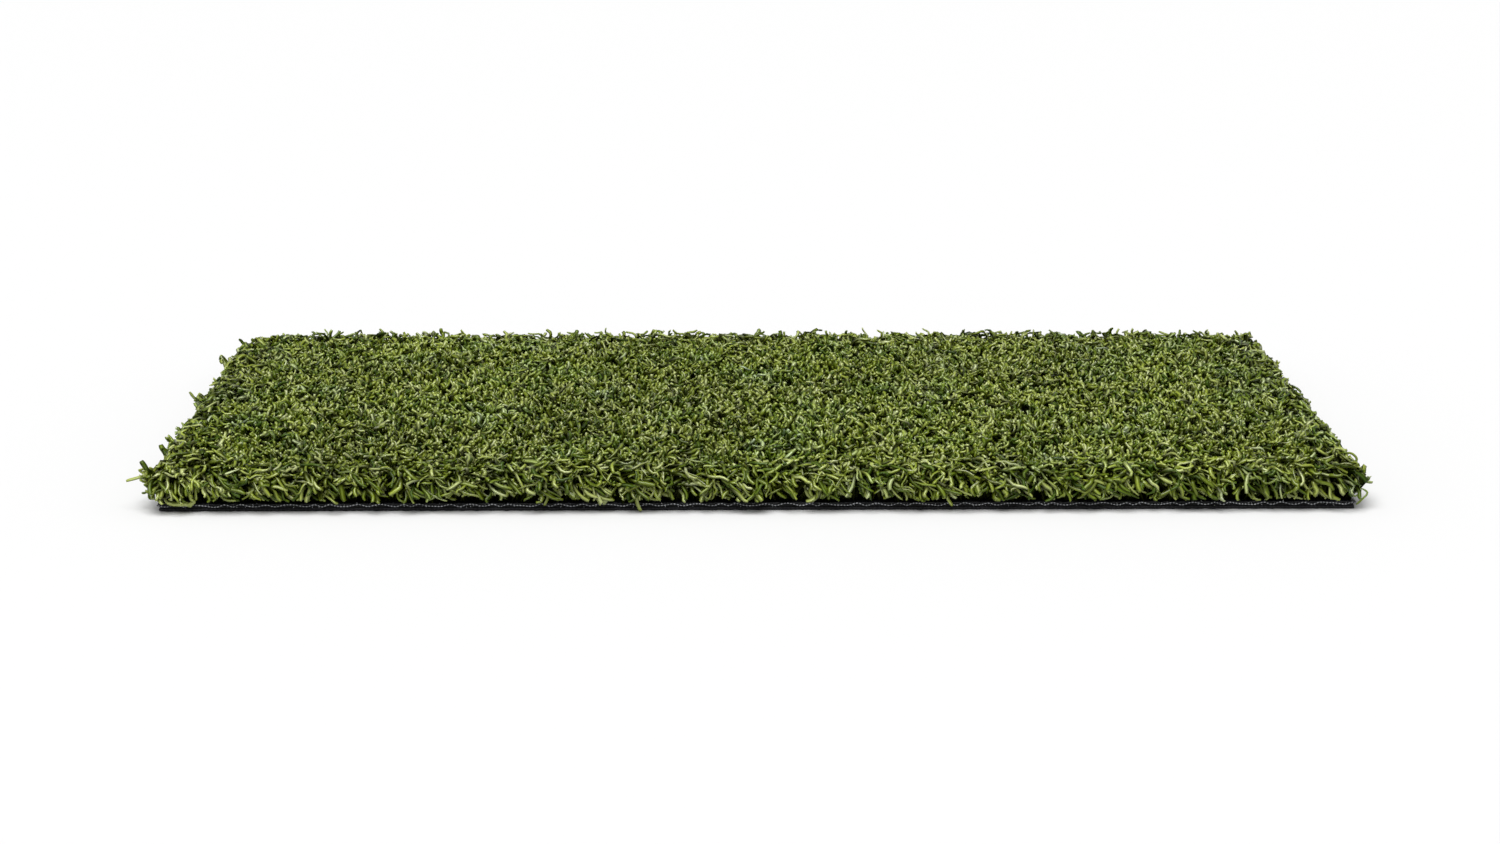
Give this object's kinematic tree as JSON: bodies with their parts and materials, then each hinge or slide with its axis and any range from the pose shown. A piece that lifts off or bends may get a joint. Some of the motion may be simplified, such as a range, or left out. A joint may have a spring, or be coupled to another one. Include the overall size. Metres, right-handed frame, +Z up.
{
  "type": "golf hitting mat",
  "caption": "Flat rectangular golf hitting mat of tufted turf: rows of crimped green yarn stitched through a black woven backing with cut edges.",
  "frame": {"origin": "middle of the underside, on the surface that the mat lies on", "axes": "+X along the long side and the rows of stitching, +Y from the front edge to the back edge, +Z up through the pile"},
  "size_m": [0.618, 0.3118, 0.023],
  "materials": {
    "pile_yarn": "crimped plastic yarn in mixed olive and deep green shades, soft satin",
    "primary_cloth": "black woven flat plastic tape, slightly shiny",
    "latex": "dull dark grey coating",
    "secondary_cloth": "black open weave pressed into the coating, matte"
  },
  "bodies": {
    "root": {"secondary_backing": "secondary_cloth", "latex_coating": "latex", "primary_backing": "primary_cloth", "pile_row_01": "pile_yarn", "pile_row_02": "pile_yarn", "pile_row_03": "pile_yarn", "pile_row_04": "pile_yarn", "pile_row_05": "pile_yarn", "pile_row_06": "pile_yarn", "pile_row_07": "pile_yarn", "pile_row_08": "pile_yarn", "pile_row_09": "pile_yarn", "pile_row_10": "pile_yarn", "pile_row_11": "pile_yarn", "pile_row_12": "pile_yarn", "pile_row_13": "pile_yarn", "pile_row_14": "pile_yarn", "pile_row_15": "pile_yarn", "pile_row_16": "pile_yarn", "pile_row_17": "pile_yarn", "pile_row_18": "pile_yarn", "pile_row_19": "pile_yarn", "pile_row_20": "pile_yarn", "pile_row_21": "pile_yarn", "pile_row_22": "pile_yarn", "pile_row_23": "pile_yarn", "pile_row_24": "pile_yarn", "pile_row_25": "pile_yarn", "pile_row_26": "pile_yarn", "pile_row_27": "pile_yarn", "pile_row_28": "pile_yarn", "pile_row_29": "pile_yarn", "pile_row_30": "pile_yarn", "pile_row_31": "pile_yarn", "pile_row_32": "pile_yarn", "pile_row_33": "pile_yarn", "pile_row_34": "pile_yarn", "pile_row_35": "pile_yarn", "pile_row_36": "pile_yarn", "pile_row_37": "pile_yarn", "pile_row_38": "pile_yarn"}
  },
  "joints": []
}
